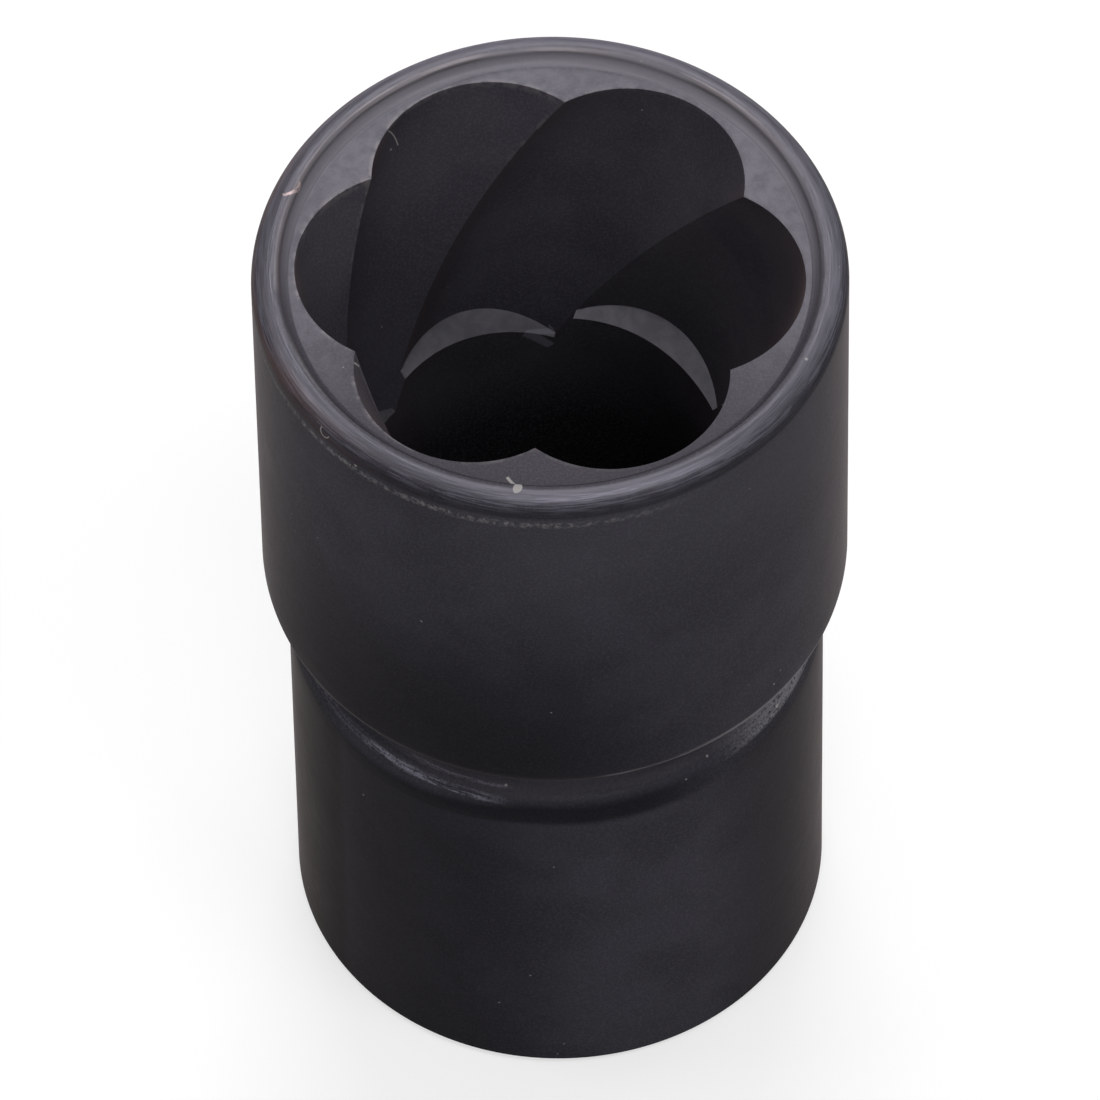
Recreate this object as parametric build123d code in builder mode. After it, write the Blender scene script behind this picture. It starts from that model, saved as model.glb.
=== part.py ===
from build123d import *
import os
from math import cos, radians, sin, sqrt, tan

# Nut extractor socket, one piece of steel. The axis is Z: the drive face stands on z = 0
# and the mouth looks up. All sizes are in millimetres and all angles in degrees.

# Outer form, turned: a drive end below, a neck, and the wider head above it.
overall_length = 50.0
head_diameter = 29.4
head_length = 23.9
head_edge_radius = 1.15
neck_diameter = 24.0
neck_fillet = 0.6
drive_end_diameter = 27.0
shoulder_height = 22.4
shoulder_angle = 45.0
shoulder_radius = 2.5
base_chamfer = 0.4

# Mouth: a rounded lip stands round a flat face that lies a little lower.
lip_width = 1.4
lip_height = 0.73
lip_rounding = 1.1
lip_inner_rounding = 0.2
face_fillet = 0.45

# Flutes: six round grooves that twist and close in towards the bottom. Between two of them
# stands a sharp ridge that bites into a worn nut. Sizes are given at the flat face.
flute_count = 6
flute_radius = 5.85
flute_offset = 6.73
first_flute_angle = 55.2
flute_depth = 16.5
twist_per_mm = 3.62
offset_loss_per_mm = 0.18
radius_gain_per_mm = 0.042
floor_radius = 8.8
floor_tilt_outward = 28.5
floor_tilt_along = 11.7
loft_sections = 9
flute_headroom = 1.0
flute_overrun = 3.5
flute_overlap_angle = 1.0

# Pilot hole: it runs down the middle of the flutes and ends in the cone that a drill leaves.
pilot_diameter = 18.4
pilot_floor_height = 19.0
drill_point_angle = 118.0

# Drive end: a square hole with a lead-in and a ring groove that the ratchet's ball snaps into.
drive_square = 12.8
lead_in_diameter = 16.6
lead_in_angle = 90.0
detent_height = 8.0
detent_ball_radius = 3.2
detent_depth = 0.85

# Places that follow from the sizes above.
head_radius = head_diameter / 2
neck_radius = neck_diameter / 2
drive_end_radius = drive_end_diameter / 2
pilot_radius = pilot_diameter / 2
lead_in_radius = lead_in_diameter / 2
head_underside = overall_length - head_length
face_height = overall_length - lip_height
shoulder_rise = (drive_end_radius - neck_radius) / tan(radians(shoulder_angle))
lip_radius = min(lip_rounding, lip_width - 1.5 * lip_inner_rounding)
mouth_fillet = min(face_fillet, 0.9 * lip_height)
flute_half = radians(180 / flute_count)
flute_overlap = radians(flute_overlap_angle)


# One flute: sixths of the turn that follow a circle outside and run to the axis inside. They
# turn, move inward and grow as they go down, joined by a loft. Each reaches a little way into
# the next flute. The tilted floor closes it: the floor rises outward and along the twist.
with BuildPart() as flute:
    start_depth = -lip_height - flute_headroom
    section_step = (flute_depth + flute_overrun - start_depth) / (loft_sections - 1)
    for index in range(loft_sections):
        depth = start_depth + index * section_step
        section_angle = first_flute_angle + twist_per_mm * depth
        section_offset = flute_offset - offset_loss_per_mm * depth
        section_radius = flute_radius + radius_gain_per_mm * depth
        section_plane = Plane.XY.offset(face_height - depth).rotated((0, 0, section_angle))
        ends = []
        for side in (-flute_half, flute_half + flute_overlap):
            reach = section_offset * cos(side)
            reach += sqrt(section_radius**2 - (section_offset * sin(side)) ** 2)
            ends.append((reach * cos(side), reach * sin(side)))
        with BuildSketch(section_plane):
            with BuildLine():
                Line((0, 0), ends[0])
                ThreePointArc(ends[0], (section_offset + section_radius, 0), ends[1])
                Line(ends[1], (0, 0))
            make_face()
    loft()
    floor_angle = first_flute_angle + twist_per_mm * flute_depth
    floor_place = Plane.XY.offset(face_height - flute_depth).rotated((0, 0, floor_angle))
    floor_normal = (
        -tan(radians(floor_tilt_outward)),
        -tan(radians(floor_tilt_along)),
        1,
    )
    floor_plane = Plane(
        origin=floor_place.from_local_coords((floor_radius, 0, 0)),
        z_dir=floor_place.from_local_coords(floor_normal) - floor_place.origin,
    )
    split(bisect_by=floor_plane, keep=Keep.TOP)

# The body is revolved from its half section, from the drive face up to the lip and the face.
with BuildPart() as socket_body:
    with BuildSketch(Plane.XZ):
        with BuildLine():
            FilletPolyline(
                (0, 0),
                (drive_end_radius - base_chamfer, 0),
                (drive_end_radius, base_chamfer),
                (drive_end_radius, shoulder_height),
                (neck_radius, shoulder_height + shoulder_rise),
                (neck_radius, head_underside),
                (head_radius, head_underside),
                (head_radius, overall_length),
                (head_radius - lip_width, overall_length),
                (head_radius - lip_width, face_height),
                (0, face_height),
                radius=[
                    0,
                    0,
                    0,
                    shoulder_radius,
                    0,
                    neck_fillet,
                    head_edge_radius,
                    lip_radius,
                    lip_inner_rounding,
                    mouth_fillet,
                    0,
                ],
                close=True,
            )
        make_face()
    revolve(axis=Axis.Z)

    # The six flutes.
    with PolarLocations(0, flute_count):
        add(flute.part, mode=Mode.SUBTRACT)

    # The pilot hole with the cone at its end.
    with BuildSketch(Plane.XZ):
        with BuildLine():
            cone_depth = pilot_radius / tan(radians(drill_point_angle / 2))
            Polyline(
                (0, pilot_floor_height - cone_depth),
                (pilot_radius, pilot_floor_height),
                (pilot_radius, overall_length),
                (0, overall_length),
                close=True,
            )
        make_face()
    revolve(axis=Axis.Z, mode=Mode.SUBTRACT)

    # The square drive hole from below.
    with BuildSketch():
        Rectangle(drive_square, drive_square)
    extrude(amount=pilot_floor_height, mode=Mode.SUBTRACT)

    # Its conical lead-in, and the ring groove for the ball: a round bead turned into the
    # flats, which leaves the corners of the square untouched.
    with BuildSketch(Plane.XZ):
        with BuildLine():
            lead_in_depth = lead_in_radius / tan(radians(lead_in_angle / 2))
            Polyline((0, 0), (lead_in_radius, 0), (0, lead_in_depth), close=True)
        make_face()
        with Locations((drive_square / 2 + detent_depth - detent_ball_radius, detent_height)):
            Circle(detent_ball_radius)
    revolve(axis=Axis.Z, mode=Mode.SUBTRACT)

socket_body.part.label = "socket_body"

os.makedirs("parts", exist_ok=True)
export_step(socket_body.part, "parts/socket_body.step")
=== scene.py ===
from math import asin, atan2, cos, degrees, pi, radians, sin, sqrt, tan

import bmesh
import bpy
from mathutils import Matrix, Vector


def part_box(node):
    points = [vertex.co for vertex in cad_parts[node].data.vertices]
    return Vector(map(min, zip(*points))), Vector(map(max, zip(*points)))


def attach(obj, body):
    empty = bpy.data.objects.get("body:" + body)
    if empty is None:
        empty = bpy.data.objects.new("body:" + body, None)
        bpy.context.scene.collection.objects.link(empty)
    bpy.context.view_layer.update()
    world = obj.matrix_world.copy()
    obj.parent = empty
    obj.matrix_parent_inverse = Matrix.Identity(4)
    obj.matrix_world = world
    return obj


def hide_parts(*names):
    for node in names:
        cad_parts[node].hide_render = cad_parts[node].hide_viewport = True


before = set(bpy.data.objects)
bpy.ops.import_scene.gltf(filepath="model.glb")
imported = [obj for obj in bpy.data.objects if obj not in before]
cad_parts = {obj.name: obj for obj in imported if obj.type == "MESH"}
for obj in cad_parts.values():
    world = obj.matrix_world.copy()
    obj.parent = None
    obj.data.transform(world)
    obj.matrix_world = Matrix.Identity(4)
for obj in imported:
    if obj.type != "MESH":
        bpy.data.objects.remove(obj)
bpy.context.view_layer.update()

# The turned body: one bar of alloy steel, turned to a drive end, a neck and a wider head with
# a rounded lip. It is a half section in millimetres, rounded at its corners and spun about
# the axis. The section is left open at the mouth and at the drive hole.
mm = 0.001
low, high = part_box("socket_body")
overall_length = (high.z - low.z) / mm
head_radius = (high.x - low.x) / 2 / mm
head_underside = 26.1
head_edge_rounding = 1.15
neck_radius = 12.0
neck_fillet = 0.6
drive_end_radius = 13.5
shoulder_height = 22.4
shoulder_rise = 1.5
shoulder_angle = 45.0
shoulder_rounding = 2.5
base_chamfer = 0.4
lead_in_radius = 8.3
lip_width = 1.4
lip_height = 0.73
lip_rounding = 1.1
lip_inner_rounding = 0.2
face_fillet = 0.45
face_height = overall_length - lip_height
face_rim = 0.05
wall_row = 1.0
rounding_row = 0.09
least_rounding_rows = 4

# Each flute is a sixth of the turn. Its columns run from one sharp ridge to the next, and a few
# more stand past the ridge, where its wall goes on under the floor of the flute before it.
flute_count = 6
flute_columns = 48
under_columns = 4
under_rows = 4
first_flute_angle = 55.2
first_column_angle = first_flute_angle - 180 / flute_count
turn_columns = flute_count * flute_columns
column_slack = 0.01

body = bmesh.new()
shoulder_cut = shoulder_rounding * tan(radians(shoulder_angle / 2))
corners = (
    (drive_end_radius - base_chamfer, 0, 0),
    (drive_end_radius, base_chamfer, 0),
    (drive_end_radius, shoulder_height, shoulder_cut),
    (neck_radius, shoulder_height + shoulder_rise, 0),
    (neck_radius, head_underside, neck_fillet),
    (head_radius, head_underside, head_edge_rounding),
    (head_radius, overall_length, lip_rounding),
    (head_radius - lip_width, overall_length, lip_inner_rounding),
    (head_radius - lip_width, face_height, face_fillet),
    (head_radius - lip_width - face_fillet - face_rim, face_height, 0),
)
points = [body.verts.new((radius, 0, height)) for radius, height, cut in corners]
for start, end in zip(points, points[1:]):
    body.edges.new((start, end))
for point, (radius, height, cut) in zip(points, corners):
    if cut:
        bmesh.ops.bevel(
            body,
            geom=[point],
            offset=cut,
            offset_type="OFFSET",
            segments=max(least_rounding_rows, round(cut / rounding_row)),
            profile=0.5,
            affect="VERTICES",
            clamp_overlap=False,
            material=-1,
        )
for edge in list(body.edges):
    if edge.calc_length() > 2 * wall_row:
        rows = round(edge.calc_length() / wall_row)
        bmesh.ops.subdivide_edges(body, edges=[edge], cuts=rows - 1)
bmesh.ops.rotate(
    body,
    verts=body.verts,
    cent=(0, 0, 0),
    matrix=Matrix.Rotation(radians(first_column_angle), 3, "Z"),
)
bmesh.ops.spin(
    body,
    geom=body.verts[:] + body.edges[:],
    cent=(0, 0, 0),
    axis=(0, 0, 1),
    dvec=(0, 0, 0),
    angle=2 * pi,
    steps=turn_columns,
    use_merge=True,
)


def turn_of(vertex):
    """The vertex's angle about the axis in degrees, counted from just before the first column."""
    start = first_column_angle - column_slack
    return (degrees(atan2(vertex.co.y, vertex.co.x)) - start) % 360


def open_edge(above):
    """The open edge of the body above that height, in order round the axis."""
    loop = {v for e in body.edges if e.is_boundary for v in e.verts}
    return sorted((v for v in loop if v.co.z > above), key=turn_of)


def extrude_row(row, closed=False):
    """Extrudes a row of vertices by its edges and returns the new row in the same order."""
    ends = row[1:] + row[:1] if closed else row[1:]
    edges = [body.edges.get(pair) for pair in zip(row, ends)]
    made = bmesh.ops.extrude_edge_only(body, edges=edges)["geom"]
    fresh = {v for v in made if isinstance(v, bmesh.types.BMVert)}
    links = [(v, [e.other_vert(v) for e in v.link_edges]) for v in row]
    return [next(other for other in others if other in fresh) for v, others in links]


def place(row, spots):
    """Moves a row of vertices to their spots."""
    for vertex, spot in zip(row, spots):
        vertex.co = spot


# The flutes: six round grooves milled into the face. Each one turns counter-clockwise, moves
# inward and widens on its way down, and a sharp ridge that bites the nut stands between two.
# The flat face has one row close to the mouth, so that its shading stays even.
flute_radius = 5.85
flute_offset = 6.73
flute_depth = 16.5
twist_per_mm = 3.62
offset_loss_per_mm = 0.18
radius_gain_per_mm = 0.042
floor_radius = 8.8
floor_rise_outward = tan(radians(28.5))
floor_rise_along = tan(radians(11.7))
flute_rows = 40
mouth_row = 0.25
settling_steps = 20
merge_distance = 0.0005
pilot_radius = 9.2


def flute_frame(flute, depth):
    """The direction from the axis to the middle of a flute at that depth, and along its turn."""
    angle = radians(first_flute_angle + 360 / flute_count * flute + twist_per_mm * depth)
    return Vector((cos(angle), sin(angle), 0)), Vector((-sin(angle), cos(angle), 0))


def flute_wall(flute, share, depth):
    """A point of the wall. Share is -1 at the ridge and 1 at the next. From -1 to -2 it runs
    straight in from the ridge to the pilot hole."""
    offset = flute_offset - offset_loss_per_mm * depth
    radius = flute_radius + radius_gain_per_mm * depth
    half = pi / flute_count
    angle = half + asin(offset * sin(half) / radius)
    inward = max(0, -1 - share)
    angle *= max(-1, share)
    outward, along = flute_frame(flute, depth)
    spot = outward * (offset + radius * cos(angle)) + along * radius * sin(angle)
    spot = spot.lerp(spot * (pilot_radius / spot.length), inward)
    return spot + Vector((0, 0, face_height - depth))


def floor_height(flute, spot):
    """The height of a flute's tilted floor over or under that point."""
    outward, along = flute_frame(flute, flute_depth)
    rise = floor_rise_outward * (spot.dot(outward) - floor_radius)
    return face_height - flute_depth + rise + floor_rise_along * spot.dot(along)


def depth_at_floor(flute, share, floor):
    """How deep a flute's wall meets the floor of that flute or of the one before it. The depth
    settles step by step."""
    depth = flute_depth
    for _ in range(settling_steps):
        spot = flute_wall(flute, share, depth)
        spot.z = 0
        depth = face_height - floor_height(floor, spot)
    return depth


# All six flutes are alike, so the depths of the first hold for the others. The floor beyond the
# ridge lies higher, and the last rows of a column fade out towards the next ridge.
shares = [2 * column / flute_columns - 1 for column in range(flute_columns + 1)]
ridge_fall = depth_at_floor(0, -1, 0) - depth_at_floor(0, -1, -1)
floor_depths = [depth_at_floor(0, share, 0) for share in shares]
fading = [ridge_fall * (1 - share) / 2 for share in shares]

rim_row = open_edge(above=face_height / 2)
columns = [divmod(index, flute_columns) for index in range(turn_columns)]
mouth = [flute_wall(flute, shares[column], 0) for flute, column in columns]
near = []
for spot, rim in zip(mouth, rim_row):
    part = min(0.5, mouth_row / (rim.co - spot).length)
    near.append(spot.lerp(rim.co, part))
row = extrude_row(rim_row, closed=True)
place(row, near)
row = extrude_row(row, closed=True)
place(row, mouth)
for step in range(1, flute_rows + 1):
    row = extrude_row(row, closed=True)
    depths = [(floor_depths[i] - fading[i]) * step / flute_rows for i in range(flute_columns)]
    place(row, [flute_wall(flute, shares[i], depths[i]) for flute, i in columns])

# Under the ridge, each wall goes on down to its own floor, and back to the pilot hole.
ring = row + row[:1]
floor_rims = []
for flute in range(flute_count):
    row = ring[flute * flute_columns : (flute + 1) * flute_columns + 1]
    side = [row[0]]
    for step in range(1, under_rows + 1):
        row = extrude_row(row)
        spare = [fade * (1 - step / under_rows) for fade in fading]
        depths = [depth - left for depth, left in zip(floor_depths, spare)]
        place(row, [flute_wall(flute, share, depth) for share, depth in zip(shares, depths)])
        side.append(row[0])
    floor_rim = list(row)
    for column in range(1, under_columns + 1):
        side = extrude_row(side)
        share = -1 - column / under_columns
        above = depth_at_floor(flute, share, flute - 1)
        below = depth_at_floor(flute, share, flute)
        steps = [above + (below - above) * step / under_rows for step in range(under_rows + 1)]
        place(side, [flute_wall(flute, share, depth) for depth in steps])
        floor_rim.insert(0, side[-1])
    floor_rims.append(floor_rim)

# The floors: each is a crescent between the wall and the pilot hole. Its far end is cut off by
# the wall of the next flute.
for flute, rim in enumerate(floor_rims):
    tip, rim_spots = rim[0].co.copy(), [v.co.copy() for v in rim]
    far_depth = depth_at_floor(flute + 1, -2, flute)
    far = flute_wall(flute + 1, -2, far_depth)
    sweep = (atan2(far.y, far.x) - atan2(tip.y, tip.x)) % (2 * pi)
    hole_spots = []
    for index in range(len(rim)):
        angle = atan2(tip.y, tip.x) + sweep * index / (len(rim) - 1)
        spot = Vector((cos(angle), sin(angle), 0)) * pilot_radius
        spot.z = floor_height(flute, spot)
        hole_spots.append(spot)
    row = rim
    for step in range(1, under_columns + 1):
        row = extrude_row(row)
        part = step / under_columns
        spots = [outer.lerp(inside_painted_lighter, part) for outer, inside_painted_lighter in zip(rim_spots, hole_spots)]
        end_share = -1 - part
        end_depth = depth_at_floor(flute + 1, end_share, flute)
        spots[-1] = flute_wall(flute + 1, end_share, end_depth)
        place(row, spots)
bmesh.ops.remove_doubles(body, verts=body.verts, dist=merge_distance)

# The pilot hole: bored round down the middle, to the cone that the drill leaves. Its columns
# settle on equal steps, so that one stands in each corner of the square below.
pilot_floor_height = 19.0
drill_half_angle = radians(59)
drive_half = 6.4
pilot_rows = 10
cone_rows = 4

row = open_edge(above=face_height / 2)
drive_columns = len(row)
step_angle = 2 * pi / drive_columns
turns = [atan2(v.co.y, v.co.x) for v in row]
lag = [((turn - index * step_angle + pi) % (2 * pi)) - pi for index, turn in enumerate(turns)]
shift = round(sum(lag) / drive_columns / step_angle) * step_angle
final_turns = [shift + index * step_angle for index in range(drive_columns)]
first_turns = [
    final + ((turn - final + pi) % (2 * pi)) - pi for turn, final in zip(turns, final_turns)
]
first_heights = [v.co.z for v in row]
for step in range(1, pilot_rows + 1):
    row = extrude_row(row, closed=True)
    part = step / pilot_rows
    for vertex, first, final, height in zip(row, first_turns, final_turns, first_heights):
        turn = first + (final - first) * part
        drop = height + (pilot_floor_height - height) * part
        vertex.co = (pilot_radius * cos(turn), pilot_radius * sin(turn), drop)

# The drive hole: broached square, with a ring groove in its flats that the ball of the ratchet
# snaps into, and a conical lead-in at the drive face.
detent_height = 8.0
detent_ball_radius = 3.2
detent_centre = 4.05
groove_rows = 12
groove_least = 0.12
square_rows = 5

square = [drive_half / max(abs(cos(turn)), abs(sin(turn))) for turn in final_turns]


def groove_radius(height):
    """How far from the axis the ring groove reaches at that height."""
    return detent_centre + sqrt(max(0, detent_ball_radius**2 - (height - detent_height) ** 2))


def half_groove(flat):
    """Half the height of the groove where the flat stands that far from the axis."""
    chord = detent_ball_radius**2 - (flat - detent_centre) ** 2
    return max(groove_least, sqrt(max(0, chord)))


def drive_row(radii, heights):
    """Extrudes the drive hole by one row, to those radii and heights."""
    new_row = extrude_row(row, closed=True)
    sides = zip(radii, final_turns, heights)
    place(new_row, [(r * cos(turn), r * sin(turn), height) for r, turn, height in sides])
    return new_row


for step in range(1, cone_rows + 1):
    radii = [pilot_radius + (side - pilot_radius) * step / cone_rows for side in square]
    heights = [pilot_floor_height - (pilot_radius - r) / tan(drill_half_angle) for r in radii]
    row = drive_row(radii, heights)
top_heights = heights
groove_halves = [half_groove(side) for side in square]
for step in range(1, square_rows + 1):
    part = step / square_rows
    ends = [detent_height + half for half in groove_halves]
    heights = [top + (end - top) * part for top, end in zip(top_heights, ends)]
    row = drive_row(square, heights)
for step in range(1, groove_rows + 1):
    part = cos(pi * step / groove_rows)
    heights = [detent_height + half * part for half in groove_halves]
    radii = [max(side, groove_radius(height)) for side, height in zip(square, heights)]
    row = drive_row(radii, heights)
lead_in_heights = [max(0, lead_in_radius - side) for side in square]
for step in range(1, square_rows + 1):
    part = step / square_rows
    starts = [detent_height - half for half in groove_halves]
    heights = [top + (end - top) * part for top, end in zip(starts, lead_in_heights)]
    row = drive_row(square, heights)
row = drive_row([max(side, lead_in_radius) for side in square], [0] * drive_columns)
bmesh.ops.remove_doubles(body, verts=body.verts, dist=merge_distance)
bmesh.ops.bridge_loops(body, edges=[e for e in body.edges if e.is_boundary])
bmesh.ops.recalc_face_normals(body, faces=body.faces)

# The edges that cut are not quite sharp: the mouth and the ridges are rounded a little. Their
# points carry a mark, by which the finish shows wear there.
edge_rounding = 0.07
edge_rows = 3
sharp_angle = radians(32)
foot_slack = 0.001
ridge_foot = face_height - floor_depths[-1] - foot_slack
edge_wear = body.verts.layers.float.new("edge_wear")
rounded = bmesh.ops.bevel(
    body,
    geom=[
        edge
        for edge in body.edges
        if edge.calc_face_angle(0) > sharp_angle and min(v.co.z for v in edge.verts) > ridge_foot
    ],
    offset=edge_rounding,
    offset_type="OFFSET",
    segments=edge_rows,
    profile=0.5,
    affect="EDGES",
    clamp_overlap=True,
    material=-1,
)
for vertex in rounded["verts"]:
    vertex[edge_wear] = 1
for face in body.faces:
    face.smooth = True
for edge in body.edges:
    edge.smooth = edge.calc_face_angle(0) < sharp_angle
bmesh.ops.scale(body, vec=(mm, mm, mm), verts=body.verts)

socket_mesh = bpy.data.meshes.new("extractor_socket")
body.to_mesh(socket_mesh)
body.free()
socket = bpy.data.objects.new("extractor_socket", socket_mesh)
bpy.context.scene.collection.objects.link(socket)
weighting = socket.modifiers.new("even shading", "WEIGHTED_NORMAL")
weighting.keep_sharp = True
weighting.weight = 100
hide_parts("socket_body")
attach(socket, "root")


# The finish: black phosphate on turned steel, lightly oiled. It is satin, a little violet and
# finely grained. Turning lines run round the axis, and it wears grey at the edges that touch.
# Dust lies on it in specks, and as a chalky line under the lip.
def linear(code):
    """A colour written as sRGB hex, as the linear values that a shader takes."""
    channels = [int(code[i : i + 2], 16) / 255 for i in (1, 3, 5)]
    return [c / 12.92 if c <= 0.04045 else ((c + 0.055) / 1.055) ** 2.4 for c in channels] + [1]


finish = bpy.data.materials.new("black_phosphate_steel")
finish.use_nodes = True
tree = finish.node_tree
shader = tree.nodes["Principled BSDF"]


def feed(node, inputs):
    """Sets a node's inputs: each is a value, or the output that feeds it."""
    for name, value in inputs.items():
        if isinstance(value, bpy.types.NodeSocket):
            tree.links.new(value, node.inputs[name])
        else:
            node.inputs[name].default_value = value


def add(kind, inputs, **settings):
    """Adds a node with its settings, feeds it and returns it."""
    node = tree.nodes.new("ShaderNode" + kind)
    for name, value in settings.items():
        setattr(node, name, value)
    feed(node, inputs)
    return node


def calc(operation, first, second=0.0):
    """The result of one sum on two values."""
    return add("Math", {0: first, 1: second}, operation=operation).outputs[0]


def span(value, start, end):
    """Goes smoothly from 0 at the start value to 1 at the end value, whichever is higher."""
    ends = {"Value": value, "From Min": start, "From Max": end}
    return add("MapRange", ends, interpolation_type="SMOOTHSTEP").outputs[0]


def band(value, middle, half, soft):
    """Is 1 within half of the middle, and fades out over the soft width beyond."""
    away = calc("ABSOLUTE", calc("SUBTRACT", value, middle))
    return span(away, half + soft, half)


def noise(place, size, detail=2.0, roughness=0.5):
    """Cloudy noise with spots about that many millimetres wide."""
    inputs = {"Vector": place, "Scale": 1 / size, "Detail": detail, "Roughness": roughness}
    return add("TexNoise", inputs).outputs[0]


def blend(part, first, second):
    """One colour that gives way to another where the mask is high."""
    inputs = {0: part, 6: first, 7: second}
    return add("Mix", inputs, data_type="RGBA").outputs[2]


def both(first, *others):
    """Several masks multiplied."""
    for other in others:
        first = calc("MULTIPLY", first, other)
    return first


def most(first, *others):
    """The highest of several masks."""
    for other in others:
        first = calc("MAXIMUM", first, other)
    return first


def less(mask):
    """What a mask leaves over."""
    return calc("SUBTRACT", 1.0, mask)


# Places on the surface in millimetres: the height, the distance from the axis and the
# direction round it.
coordinates = add("TexCoord", {}).outputs["Object"]
spot = add("VectorMath", {0: coordinates, "Scale": 1 / mm}, operation="SCALE").outputs[0]
flat = add("VectorMath", {0: spot, 1: (1, 1, 0)}, operation="MULTIPLY").outputs[0]
radius = add("VectorMath", {0: flat}, operation="LENGTH").outputs["Value"]
around = add("VectorMath", {0: flat}, operation="NORMALIZE").outputs[0]
height = add("SeparateXYZ", {0: spot}).outputs[2]


def toward(azimuth, start, end):
    """Grows on the side of that azimuth, between those cosines of the angle from it."""
    direction = (cos(radians(azimuth)), sin(radians(azimuth)), 0)
    facing = add("VectorMath", {0: around, 1: direction}, operation="DOT_PRODUCT")
    return span(facing.outputs["Value"], start, end)


# Turning lines: noise that hardly changes round the axis and changes fast across it. The
# grain, the mottling and the clouds of the coat are noise in plain space. The grain is drawn
# coarser than the coat's real crystals, so that it shows.
across = calc("SUBTRACT", height, radius)
line_place = add(
    "VectorMath",
    {0: around, 1: (0.9, 0.9, 0), 2: add("CombineXYZ", {2: across}).outputs[0]},
    operation="MULTIPLY_ADD",
).outputs[0]
fine_lines = noise(line_place, 0.11, 2.0, 0.55)
wide_lines = noise(line_place, 0.55, 2.0)
grain = noise(spot, 0.13, 2.0, 0.65)
mottle = noise(spot, 0.8, 3.0, 0.6)
cloud = noise(spot, 5.5, 2.0, 0.55)

# Where the tool's lines show most: the lip's rounding, the neck and the shoulder. On the lip's
# outer side they are painted bright as highlights. The lip's crown is rubbed smooth and painted
# lighter where its highlight lies, the step inside it is painted lighter at the back as painted
# light, and painted shade darkens the lip's foot and inner edge.
lip_inner_radius = head_radius - lip_width
face_radius = lip_inner_radius - face_fillet
shoulder_top = shoulder_height + shoulder_rise
least_lined = 0.22
lost_in_mouth = 0.7

on_lip = span(height, overall_length - 1.4, overall_length - 0.6)
on_neck = both(
    span(height, shoulder_height - 1.2, shoulder_height - 0.2),
    span(height, head_underside + 1.5, head_underside + 0.5),
)
in_mouth = span(radius, face_radius + 0.10, face_radius + 0.01)
lined = both(most(on_lip, on_neck, least_lined), less(both(in_mouth, lost_in_mouth)))
step_side = both(
    band(radius, lip_inner_radius - 0.14, half=0.17, soft=0.23),
    span(height, face_height - 0.07, face_height - 0.02),
)
crown_wear_and_highlight = both(
    band(radius, lip_inner_radius + 0.68, half=0.20, soft=0.24),
    span(height, overall_length - 0.7, overall_length - 0.4),
)
# Painted shade at the lip's foot, and along its inner edge at the front.
lip_foot_painted_shade = both(
    band(height, overall_length - 0.78, half=0.14, soft=0.28),
    span(radius, head_radius - 0.3, head_radius - 0.2),
)
lip_inside_painted_shade = both(
    band(radius, lip_inner_radius, half=0.06, soft=0.14), toward(-94, 0.3, 0.8), on_lip
)
cut_lines_highlight = both(
    span(fine_lines, 0.44, 0.58), band(radius, head_radius - 0.42, half=0.24, soft=0.22), on_lip
)

# Wear: the cutting edges and the lip's inner edge are rubbed grey, most on the left and back.
# The lip's outer side has gone brown on the left, where a warm reflection is also painted.
rubbed = add("Attribute", {}, attribute_name="edge_wear").outputs["Fac"]
edge_worn = both(
    rubbed, span(mottle, 0.42, 0.62), toward(165, -0.9, 0.9), span(height, 42.0, 49.0), 0.6
)
lip_worn = both(
    band(radius, lip_inner_radius + 0.10, half=0.10, soft=0.08),
    span(height, overall_length - 0.28, overall_length - 0.20),
    toward(118, -0.3, 0.7),
    span(wide_lines, 0.30, 0.55),
)
brown_wear_and_reflection = both(
    on_lip,
    span(radius, head_radius - 0.8, head_radius - 0.4),
    toward(178, 0.35, 0.95),
    span(wide_lines, 0.35, 0.65),
)
worn = most(edge_worn, lip_worn)

# Dust: a chalky line round the head just under the lip, and pale specks, of which only the
# largest show.
chalk_wobble = 0.2
specks_per_mm = 0.62
speck_reach = 0.085
speck_hidden = 0.035

line_height = calc("ADD", height, both(calc("SUBTRACT", mottle, 0.5), chalk_wobble))
chalk = both(
    band(line_height, overall_length - 1.54, half=0.06, soft=0.26),
    toward(-123, 0.42, 0.97),
    span(radius, head_radius - 0.2, head_radius - 0.1),
    span(noise(spot, 0.30, 3.0, 0.75), 0.40, 0.68),
)
cells = add("TexVoronoi", {"Vector": spot, "Scale": specks_per_mm, "Randomness": 1.0})
chance = add("SeparateColor", {0: cells.outputs["Color"]}).outputs[0]
speck_size = calc("SUBTRACT", both(chance, speck_reach), speck_hidden)
speck = span(calc("SUBTRACT", speck_size, cells.outputs["Distance"]), -0.01, 0.02)


def distance_to(place):
    """How far the surface is from that place, in millimetres."""
    return add("VectorMath", {0: spot, 1: place}, operation="DISTANCE").outputs["Value"]


def from_arc(start, middle, end):
    """How far the surface is from the arc through three places, in millimetres."""
    first, second = Vector(start) - Vector(end), Vector(middle) - Vector(end)
    normal = first.cross(second)
    reach = (first.length_squared * second - second.length_squared * first).cross(normal)
    reach /= 2 * normal.length_squared
    off_ring = calc("SUBTRACT", distance_to(Vector(end) + reach), reach.length)
    past_end = calc("SUBTRACT", distance_to(middle), second.length)
    return most(calc("ABSOLUTE", off_ring), past_end)
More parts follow.
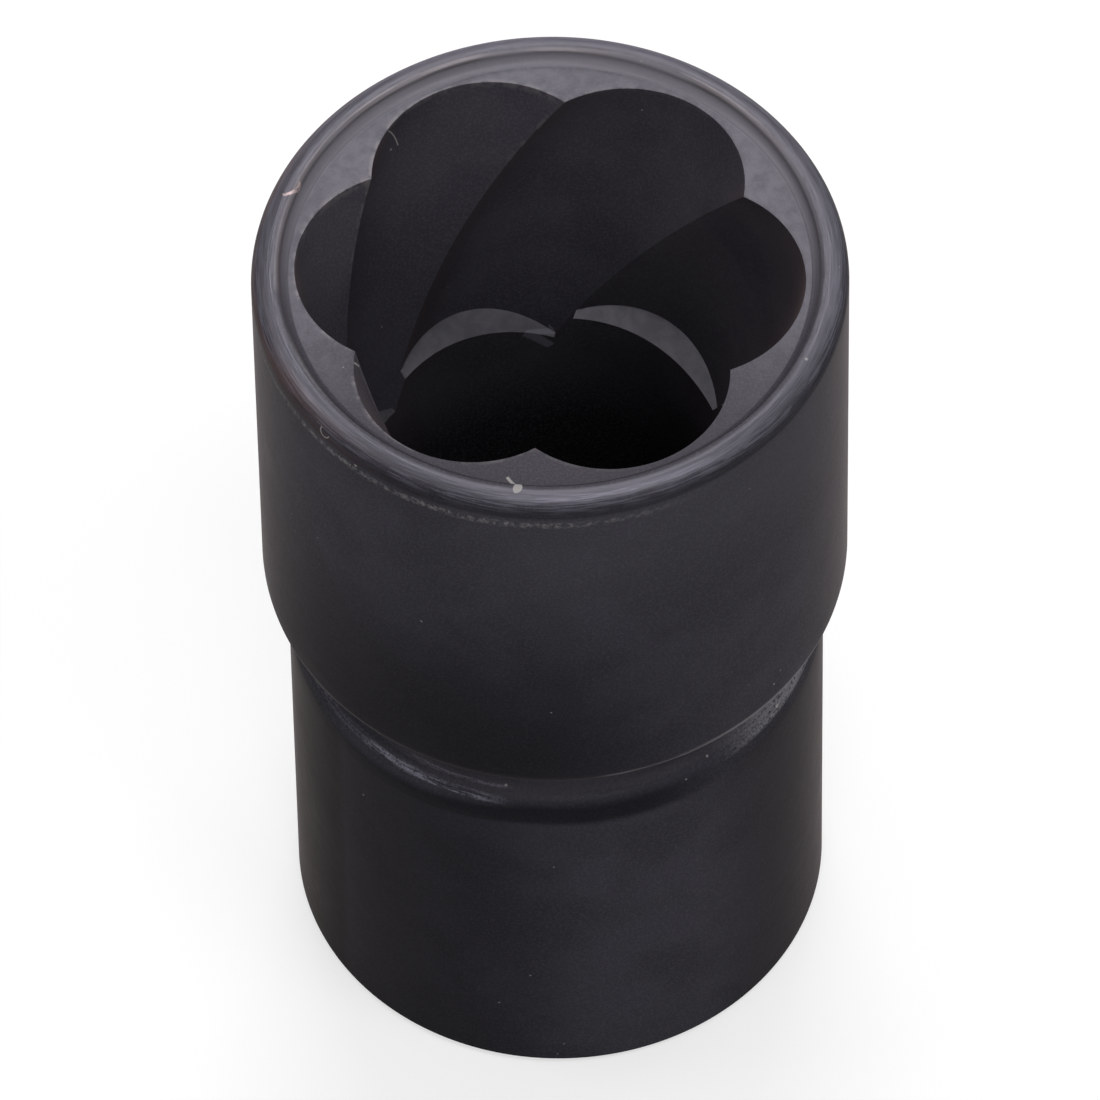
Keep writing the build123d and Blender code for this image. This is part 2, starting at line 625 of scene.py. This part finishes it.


# Lint from a cloth, bent as it settled, and single crumbs of dust with their sizes. The lip's
# inner edge has one chip, and a burr between two flute floors is painted bright as a highlight.
lint = (
    ((-8.00, 9.04, 49.27), (-7.62, 9.59, 48.13), (-7.42, 9.74, 47.15)),
    ((-9.80, -5.37, 49.27), (-9.60, -5.14, 48.93), (-9.44, -5.03, 48.72)),
    ((-11.30, -9.21, 49.39), (-11.22, -9.45, 49.11), (-10.95, -9.71, 49.28)),
    ((-2.28, -12.30, 49.27), (-2.12, -12.55, 49.27), (-1.98, -12.76, 49.28)),
    ((-1.95, -13.20, 49.87), (-1.88, -13.44, 50.00), (-1.76, -13.73, 49.97)),
)
crumbs = (
    ((-9.64, -11.09, 48.79), 0.10),
    ((-9.92, -10.85, 48.53), 0.07),
    ((12.44, -6.02, 49.98), 0.10),
    ((-7.76, 9.41, 47.22), 0.09),
    ((4.72, 11.33, 47.56), 0.06),
    ((10.78, -9.99, 28.19), 0.08),
    ((-2.67, -12.37, 23.25), 0.09),
    ((7.42, -10.60, 22.93), 0.09),
    ((11.00, -7.31, 22.49), 0.12),
)
chip = ((-12.22, 5.40, 49.94), (-12.50, 4.85, 49.96), (-13.00, 4.65, 49.98))
burr = ((-1.16, 9.13, 32.16), (-0.64, 9.18, 31.61), (-0.08, 9.20, 31.04))
fibre_half = 0.021
crumb_edge = 0.045
chip_half = 0.055
burr_half = 0.07

fibre = from_arc(*lint[0])
for arc in lint[1:]:
    fibre = calc("MINIMUM", fibre, from_arc(*arc))
crumb = 1.0
for crumb_place, crumb_size in crumbs:
    crumb = calc("MINIMUM", crumb, calc("SUBTRACT", distance_to(crumb_place), crumb_size))
fluff = less(both(span(fibre, fibre_half, 2 * fibre_half), span(crumb, -crumb_edge, 0.0)))
chipped = both(span(from_arc(*chip), 2 * chip_half, chip_half), span(grain, 0.35, 0.5))
# Painted highlight: a bright line along the burr between two flute floors.
painted_burr_highlight = span(from_arc(*burr), 2 * burr_half, burr_half)
dusty = most(both(chalk, 0.42), both(speck, 0.55), both(fluff, 0.7))

# The shoulder under the neck: a pale painted highlight on the right, two painted highlight
# streaks on the left, and painted shade in the crease below. The head's rim above it has a
# painted highlight on the right.
outside = span(radius, neck_radius - 0.4, neck_radius - 0.2)
cone = both(
    span(height, shoulder_height - 0.28, shoulder_height - 0.04),
    span(height, shoulder_top + 0.1, shoulder_top),
    outside,
)
highlight_breakup = span(fine_lines, 0.36, 0.60)
# Painted highlight: the shoulder's cone is painted pale on the right.
painted_shoulder_highlight = both(cone, toward(-18, 0.80, 1.0), most(both(highlight_breakup, 0.8), span(grain, 0.35, 0.6)))
# Painted highlight: two streaks on the shoulder's left.
long_painted_highlight = both(
    band(height, shoulder_height + 0.18, half=0.08, soft=0.22),
    most(toward(-121, 0.93, 0.99), both(toward(-145, 0.90, 0.98), 0.3)),
)
short_painted_highlight = both(
    band(height, shoulder_height + 0.78, half=0.02, soft=0.08), toward(-113, 0.972, 0.990), 0.6
)
painted_streak_highlight = both(most(long_painted_highlight, short_painted_highlight), highlight_breakup, span(grain, 0.30, 0.55), outside)
painted_streak_highlight = most(painted_streak_highlight, both(painted_burr_highlight, 0.6))
crease_place = calc("ADD", height, both(toward(-150, 0.55, 1.0), 0.8))
# Painted shade in the crease below the shoulder.
crease_painted_shade = both(
    band(crease_place, shoulder_height - 0.5, half=0.30, soft=0.70),
    toward(-115, 0.35, 0.75),
    outside,
)
# Painted highlight on the right of the head's lower rim.
rim_wide = both(band(height, head_underside + 0.65, half=0.28, soft=0.20), toward(-38, 0.86, 1.0))
rim_thin = both(band(height, head_underside + 0.72, half=0.06, soft=0.12), toward(-66, 0.95, 0.99))
painted_rim_highlight = both(most(rim_wide, both(rim_thin, highlight_breakup)), outside)

# The coat's colour: near black. Painted light makes it greyer inside the mouth and high on the
# head's front right, and most on the faces that look up, the flat top and the floors of the
# flutes, with the tops painted darker at the front. Painted shade makes it darkest deep down in
# the pilot hole.
clouded = span(cloud, 0.35, 0.65)
mottled = span(mottle, 0.3, 0.7)
# Painted shade: the near black laid where shade falls, deep in the hole, in corners and on shaded
# sides.
painted_shade_black = linear("#08080a")

black = blend(clouded, linear("#333238"), linear("#3b3a41"))
# Painted light: a lighter copy of the coat for inside the mouth, standing in for light in the
# flutes.
inside_painted_lighter = blend(clouded, linear("#3a383f"), linear("#413f45"))
# Painted light: the head's wall is painted lighter high up on its front right.
upper_head_painted_lighter = both(span(height, 38.0, 46.0), toward(-66, 0.5, 1.0), outside, 0.5)
black = blend(upper_head_painted_lighter, black, linear("#47464c"))
# Painted light: the coat inside the mouth is painted lighter.
black = blend(both(in_mouth, span(height, 28.0, 36.0)), black, inside_painted_lighter)
# Painted shade: darkest deep down in the pilot hole.
hole_painted_shade = both(span(height, 31.0, 24.0), span(radius, pilot_radius + 0.3, pilot_radius + 0.1), 0.85)
black = blend(hole_painted_shade, black, painted_shade_black)
upright = add("SeparateXYZ", {0: add("NewGeometry", {}).outputs["Normal"]}).outputs[2]
# Painted light: faces that look up are painted greyer, as if lit from above, and the flute floors
# greyest.
faces_up_painted_lighter = both(span(upright, 0.62, 0.86), span(height, 28.0, 29.0))
# Painted light: the tops are painted darker at the front than towards the back.
back_painted_lighter = toward(90, -1.0, 0.1)
painted_lit_top_grey = blend(mottled, linear("#49474d"), linear("#56545a"))
painted_lit_top_grey = blend(back_painted_lighter, linear("#38363b"), painted_lit_top_grey)
painted_lit_floor_grey = blend(mottled, linear("#59575d"), linear("#66646a"))
black = blend(faces_up_painted_lighter, black, blend(span(height, 36.0, 44.0), painted_lit_floor_grey, painted_lit_top_grey))

# Painted light makes the turned places paler: the step, the lip's crown, the shoulder's cone
# and the lines. Painted shade lies low down on the head's left, on both sides of the drive end,
# and in the corners below the lip and the shoulder.
# Painted light: the step inside the lip is painted lighter towards the back.
step_painted_light = blend(toward(88, -0.5, 0.9), linear("#3d3b41"), linear("#7d7a82"))
black = blend(step_side, black, step_painted_light)
# Painted highlight: the lip's crown, rubbed smooth, is painted lighter where its highlight lies.
black = blend(both(crown_wear_and_highlight, 0.8), black, linear("#64626a"))
# Painted light: the shoulder's cone is painted paler along its turning lines, where its lit band
# lies.
cone_lines_painted_light = both(
    cone, span(height, shoulder_height + 0.2, shoulder_height + 0.6), span(wide_lines, 0.25, 0.60)
)
black = blend(cone_lines_painted_light, black, linear("#454349"))
black = blend(both(span(grain, 0.40, 0.70), 0.16), black, linear("#68656e"))
# Painted highlight: the turning lines on the lip's outer side are painted bright.
black = blend(both(cut_lines_highlight, 0.32), black, linear("#7d7b88"))
# Painted shade: the head is painted darker low down on its left.
head_painted_shade = both(
    span(height, 45.0, 28.0),
    span(height, head_underside - 0.1, head_underside + 0.1),
    toward(-124, 0.32, 1.0),
    0.72,
)
# Painted shade: both sides of the drive end are painted darker.
sides_painted_shade = most(
    both(toward(-148, 0.30, 1.0), 0.62),
    both(toward(-16, 0.72, 1.0), 0.62),
    both(toward(-158, 0.93, 0.99), 0.9),
)
drive_end_painted_shade = both(sides_painted_shade, span(height, shoulder_height - 0.2, shoulder_height - 1.2))
# Painted shade in the corners below the lip and the shoulder.
corners_painted_shade = most(both(lip_foot_painted_shade, 0.45), both(crease_painted_shade, 0.7), both(lip_inside_painted_shade, 0.5))
black = blend(most(both(most(head_painted_shade, drive_end_painted_shade), outside), corners_painted_shade), black, painted_shade_black)

# Wear, painted highlights, a painted reflection and dust lie over the coat, the dust last.
# Worn brown on the lip's left side, with a painted warm reflection at its edge.
colour = blend(both(brown_wear_and_reflection, 0.35), black, linear("#75605e"))
# Painted highlights: the streaks on the shoulder and the burr.
colour = blend(both(painted_streak_highlight, 0.9), colour, linear("#807e8b"))
# Painted highlights: the shoulder's right and the head's lower rim.
colour = blend(both(most(painted_shoulder_highlight, both(painted_rim_highlight, 0.6)), 0.9), colour, linear("#8d8b90"))
colour = blend(both(worn, 0.75), colour, linear("#807a7c"))
colour = blend(both(chipped, 0.9), colour, linear("#b7a3a3"))
colour = blend(dusty, colour, linear("#a8a5a3"))

# Gloss: the steel shines through where the coat is rubbed thin. The oil lies unevenly, the
# lip and the shoulder are smoother, and dust is dull.
# Faces that look up are partly metal, more towards the back.
metal = both(faces_up_painted_lighter, calc("ADD", 0.22, both(back_painted_lighter, 0.18)))
metal = both(most(metal, both(crown_wear_and_highlight, 0.5)), less(both(step_side, 0.7)))
metal = most(metal, both(most(worn, painted_streak_highlight), 0.6))
gloss = calc("ADD", 0.31, both(cloud, 0.12))
gloss = calc("ADD", gloss, both(mottle, 0.08))
gloss = calc("SUBTRACT", gloss, both(most(on_lip, cone), 0.09))
gloss = calc("ADD", gloss, both(dusty, 0.4))

# Relief in millimetres: the grain of the coat all over, and the lines that the lathe's tool
# left, where they show.
relief = calc("ADD", both(grain, 0.0035), both(mottle, 0.009))
lines = calc("ADD", both(fine_lines, 0.018), both(wide_lines, 0.010))
relief = calc("ADD", relief, both(lines, lined))
bump = add("Bump", {"Height": relief, "Distance": mm, "Strength": 1.0})
feed(
    shader,
    {
        "Base Color": colour,
        "Metallic": metal,
        "Roughness": gloss,
        "Specular IOR Level": 0.008,
        "Specular Tint": linear("#f1ecff"),
        "Sheen Weight": 0.06,
        "Sheen Roughness": 0.3,
        "Sheen Tint": linear("#ffc8ba"),
        "Normal": bump.outputs[0],
    },
)
socket.data.materials.append(finish)

# The photo corner: a sheet of white paper under the socket. A glow that only the camera and the
# steel's reflections see makes it as white as the photo's ground, and lights nothing.
sheet_radius = 1.5
sheet_glow = 0.58
sheet_mesh = bpy.data.meshes.new("sheet")
sheet = bmesh.new()
bmesh.ops.create_circle(sheet, cap_ends=True, segments=64, radius=sheet_radius)
sheet.to_mesh(sheet_mesh)
sheet.free()
floor = bpy.data.objects.new("sheet", sheet_mesh)
bpy.context.scene.collection.objects.link(floor)
paper = bpy.data.materials.new("white_paper")
paper.use_nodes = True
tree = paper.node_tree
sheet_shader = tree.nodes["Principled BSDF"]
seen = add("LightPath", {})
rays = [seen.outputs["Is " + kind + " Ray"] for kind in ("Camera", "Glossy", "Transmission")]
feed(
    sheet_shader,
    {
        "Base Color": linear("#b4b4b4"),
        "Roughness": 0.9,
        "Specular IOR Level": 0.1,
        "Emission Color": (1, 1, 1, 1),
        "Emission Strength": calc("MULTIPLY", most(*rays), sheet_glow),
    },
)
floor.data.materials.append(paper)

# Soft light all round: a dim white room, and panel lamps on all sides, most of them behind.
# Each has its azimuth and elevation in degrees, its size in metres and its panel's radiance.
world = bpy.data.worlds.new("studio")
bpy.context.scene.world = world
world.use_nodes = True
world.node_tree.nodes["Background"].inputs["Color"].default_value = (1, 1, 1, 1)
world.node_tree.nodes["Background"].inputs["Strength"].default_value = 0.1

lamp_distance = 0.6
lamp_aim = Vector((0, 0, 0.045))
lamps = {
    "overhead": (90, 78, 0.22, 3.4),
    "back": (90, 50, 0.28, 4.8),
    "back_low": (90, 22, 0.28, 1.3),
    "front_top": (-90, 68, 0.20, 4.2),
    "front": (-90, 30, 0.28, 3.0),
    "back_left": (148, 52, 0.28, 0.9),
    "back_right": (48, 42, 0.28, 1.5),
    "side_right": (30, 16, 0.28, 0.8),
    "left": (173, 45, 0.20, 2.8),
    "right": (-40, 62, 0.20, 5.5),
    "low_right": (-32, 20, 0.20, 1.5),
    "low_left": (-142, 24, 0.20, 1.2),
}
for name, (azimuth, elevation, size, radiance) in lamps.items():
    lamp_data = bpy.data.lights.new(name, "AREA")
    lamp_data.size = size
    lamp_data.energy = radiance * pi * size**2
    lamp = bpy.data.objects.new(name, lamp_data)
    turn, rise = radians(azimuth), radians(elevation)
    way = Vector((cos(turn) * cos(rise), sin(turn) * cos(rise), sin(rise)))
    lamp.location = lamp_aim + way * lamp_distance
    lamp.rotation_euler = way.to_track_quat("Z", "Y").to_euler()
    bpy.context.scene.collection.objects.link(lamp)

# The camera: a long lens that looks down at the mouth from the front. Its place, its roll and
# the lens were solved from the socket's outline in the photo.
view_elevation = radians(54.16)
view_roll = radians(-1.06)
view_distance = 0.7905
aim = Vector((-0.252, 0, 26.11)) * mm
camera_data = bpy.data.cameras.new("camera")
camera_data.lens = 514.4
camera_data.sensor_width = 36
camera_data.clip_start = 0.05
camera = bpy.data.objects.new("camera", camera_data)
back = Vector((0, -cos(view_elevation), sin(view_elevation)))
tilt = Matrix.Rotation(pi / 2 - view_elevation, 4, "X")
roll = Matrix.Rotation(view_roll, 4, "Z")
camera.matrix_world = Matrix.Translation(aim + back * view_distance) @ tilt @ roll
bpy.context.scene.collection.objects.link(camera)
bpy.context.scene.camera = camera
bpy.context.scene.view_settings.view_transform = "Standard"
